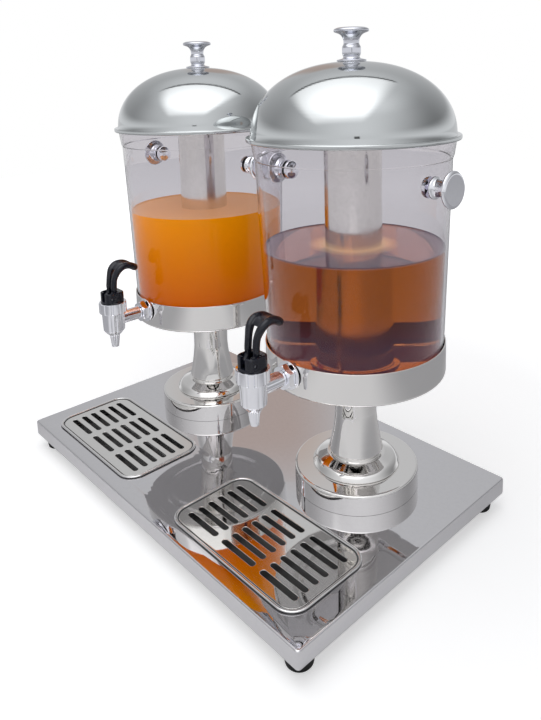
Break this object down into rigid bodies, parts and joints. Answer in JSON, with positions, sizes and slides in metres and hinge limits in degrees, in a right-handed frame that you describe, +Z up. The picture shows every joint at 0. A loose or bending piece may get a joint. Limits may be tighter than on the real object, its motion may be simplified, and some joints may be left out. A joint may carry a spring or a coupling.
{
  "type": "juice dispenser",
  "caption": "Countertop twin juice dispenser: clear containers with steel dome lids on polished columns, with taps, ice tubes and drip trays on one steel base.",
  "frame": {"origin": "on the surface the feet stand on, under the middle of the base plate", "axes": "+X to the right along the front edge, +Y to the back, +Z up; the taps are on the -Y side"},
  "size_m": [0.5484, 0.336, 0.5596],
  "materials": {
    "mirror_steel": "polished",
    "dome_steel": "polished",
    "chrome": "polished",
    "clear_plastic": "clear gloss",
    "black_plastic": "satin",
    "black_rubber": "matte",
    "pale_silicone": "matte"
  },
  "bodies": {
    "stand": {"base_plate": "mirror_steel", "front_left_foot": "black_rubber", "front_right_foot": "black_rubber", "back_left_foot": "black_rubber", "back_right_foot": "black_rubber", "left_drum": "mirror_steel", "left_column": "mirror_steel", "left_column_bolt": "mirror_steel", "left_pan": "mirror_steel", "right_drum": "mirror_steel", "right_column": "mirror_steel", "right_column_bolt": "mirror_steel", "right_pan": "mirror_steel"},
    "left_tank": {"left_container": "clear_plastic", "left_inner_grip_knob": "chrome", "left_inner_grip_nut": "chrome", "left_outer_grip_knob": "chrome", "left_outer_grip_nut": "chrome", "left_tap_body": "chrome", "left_tap_nut": "chrome", "left_tap_washer": "chrome", "left_tap_bush": "pale_silicone", "left_tap_gasket": "pale_silicone", "left_tap_back_nut": "chrome", "left_tap_collar": "chrome", "left_tap_bonnet": "black_plastic", "left_tap_pin": "chrome"},
    "left_tube": {"left_ice_tube": "mirror_steel"},
    "left_cover": {"left_lid": "dome_steel", "left_lid_knob": "chrome", "left_lid_nut": "chrome"},
    "left_tray": {"left_drip_tray": "mirror_steel"},
    "left_grid": {"left_grille": "mirror_steel"},
    "left_handle": {"left_tap_lever": "black_plastic"},
    "left_valve": {"left_valve_stem": "chrome", "left_seat_cup": "pale_silicone"},
    "right_tank": {"right_container": "clear_plastic", "right_inner_grip_knob": "chrome", "right_inner_grip_nut": "chrome", "right_outer_grip_knob": "chrome", "right_outer_grip_nut": "chrome", "right_tap_body": "chrome", "right_tap_nut": "chrome", "right_tap_washer": "chrome", "right_tap_bush": "pale_silicone", "right_tap_gasket": "pale_silicone", "right_tap_back_nut": "chrome", "right_tap_collar": "chrome", "right_tap_bonnet": "black_plastic", "right_tap_pin": "chrome"},
    "right_tube": {"right_ice_tube": "mirror_steel"},
    "right_cover": {"right_lid": "dome_steel", "right_lid_knob": "chrome", "right_lid_nut": "chrome"},
    "right_tray": {"right_drip_tray": "mirror_steel"},
    "right_grid": {"right_grille": "mirror_steel"},
    "right_handle": {"right_tap_lever": "black_plastic"},
    "right_valve": {"right_valve_stem": "chrome", "right_seat_cup": "pale_silicone"}
  },
  "joints": [
    {"name": "left_tank_lift", "type": "slide", "parent": "stand", "child": "left_tank", "axis": [0, 0, 1], "range_m": [0, 0.06]},
    {"name": "left_tube_lift", "type": "slide", "parent": "left_tank", "child": "left_tube", "axis": [0, 0, 1], "range_m": [0, 0.262]},
    {"name": "left_lid_lift", "type": "slide", "parent": "left_tube", "child": "left_cover", "axis": [0, 0, 1], "range_m": [0, 0.05]},
    {"name": "left_tray_lift", "type": "slide", "parent": "stand", "child": "left_tray", "axis": [0, 0, 1], "range_m": [0, 0.03]},
    {"name": "left_grille_lift", "type": "slide", "parent": "left_tray", "child": "left_grid", "axis": [0, 0, 1], "range_m": [0, 0.02]},
    {"name": "left_lever_tilt", "type": "hinge", "parent": "left_tank", "child": "left_handle", "pos_m": [-0.14242, -0.1085, 0.2324], "axis": [1, 0, 0], "range_deg": [0, 30], "stiffness_Nm_per_rad": 0.4},
    {"name": "left_valve_rise", "type": "slide", "parent": "left_tank", "child": "left_valve", "axis": [0, 0, 1], "range_m": [0, 0.00293]},
    {"name": "right_tank_lift", "type": "slide", "parent": "stand", "child": "right_tank", "axis": [0, 0, 1], "range_m": [0, 0.06]},
    {"name": "right_tube_lift", "type": "slide", "parent": "right_tank", "child": "right_tube", "axis": [0, 0, 1], "range_m": [0, 0.262]},
    {"name": "right_lid_lift", "type": "slide", "parent": "right_tube", "child": "right_cover", "axis": [0, 0, 1], "range_m": [0, 0.05]},
    {"name": "right_tray_lift", "type": "slide", "parent": "stand", "child": "right_tray", "axis": [0, 0, 1], "range_m": [0, 0.03]},
    {"name": "right_grille_lift", "type": "slide", "parent": "right_tray", "child": "right_grid", "axis": [0, 0, 1], "range_m": [0, 0.02]},
    {"name": "right_lever_tilt", "type": "hinge", "parent": "right_tank", "child": "right_handle", "pos_m": [0.14242, -0.1085, 0.2324], "axis": [1, 0, 0], "range_deg": [0, 30], "stiffness_Nm_per_rad": 0.4},
    {"name": "right_valve_rise", "type": "slide", "parent": "right_tank", "child": "right_valve", "axis": [0, 0, 1], "range_m": [0, 0.00293]}
  ],
  "couplings": [
    {"joint": "left_lever_tilt", "follows": "left_valve_rise", "rad_per_m": 178.57},
    {"joint": "right_lever_tilt", "follows": "right_valve_rise", "rad_per_m": 178.57}
  ]
}
